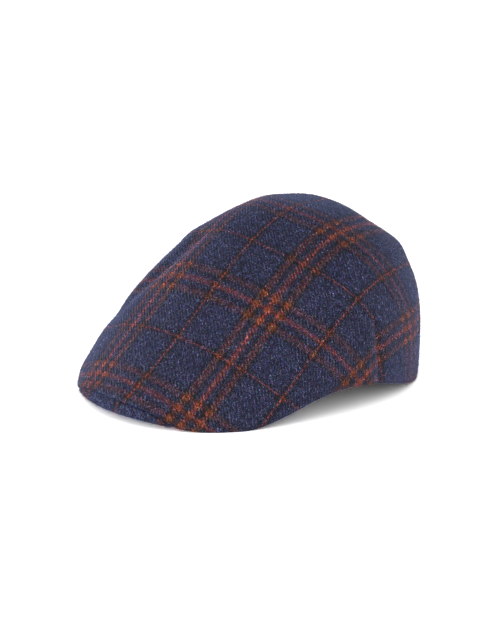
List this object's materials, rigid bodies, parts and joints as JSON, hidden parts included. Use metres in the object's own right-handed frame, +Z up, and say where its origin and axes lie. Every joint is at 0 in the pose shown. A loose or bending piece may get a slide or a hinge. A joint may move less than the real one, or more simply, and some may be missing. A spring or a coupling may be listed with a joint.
{
  "type": "ascot cap",
  "caption": "Ascot cap: a rounded plaid wool crown, hollow for the head, drawn down over a short stiff peak.",
  "frame": {"origin": "on the surface that the cap rests on, under the middle of its bounding box", "axes": "+Z up; the peak points to -Y and the back of the head to +Y; the wearer's left side is +X"},
  "size_m": [0.1904, 0.2496, 0.13],
  "materials": {
    "crown_cloth": "navy wool twill with a rust and orange plaid, brushed, matt",
    "peak_cloth": "the same navy plaid wool twill over a stiff board, matt"
  },
  "bodies": {
    "root": {"crown": "crown_cloth", "peak": "peak_cloth"}
  },
  "joints": []
}
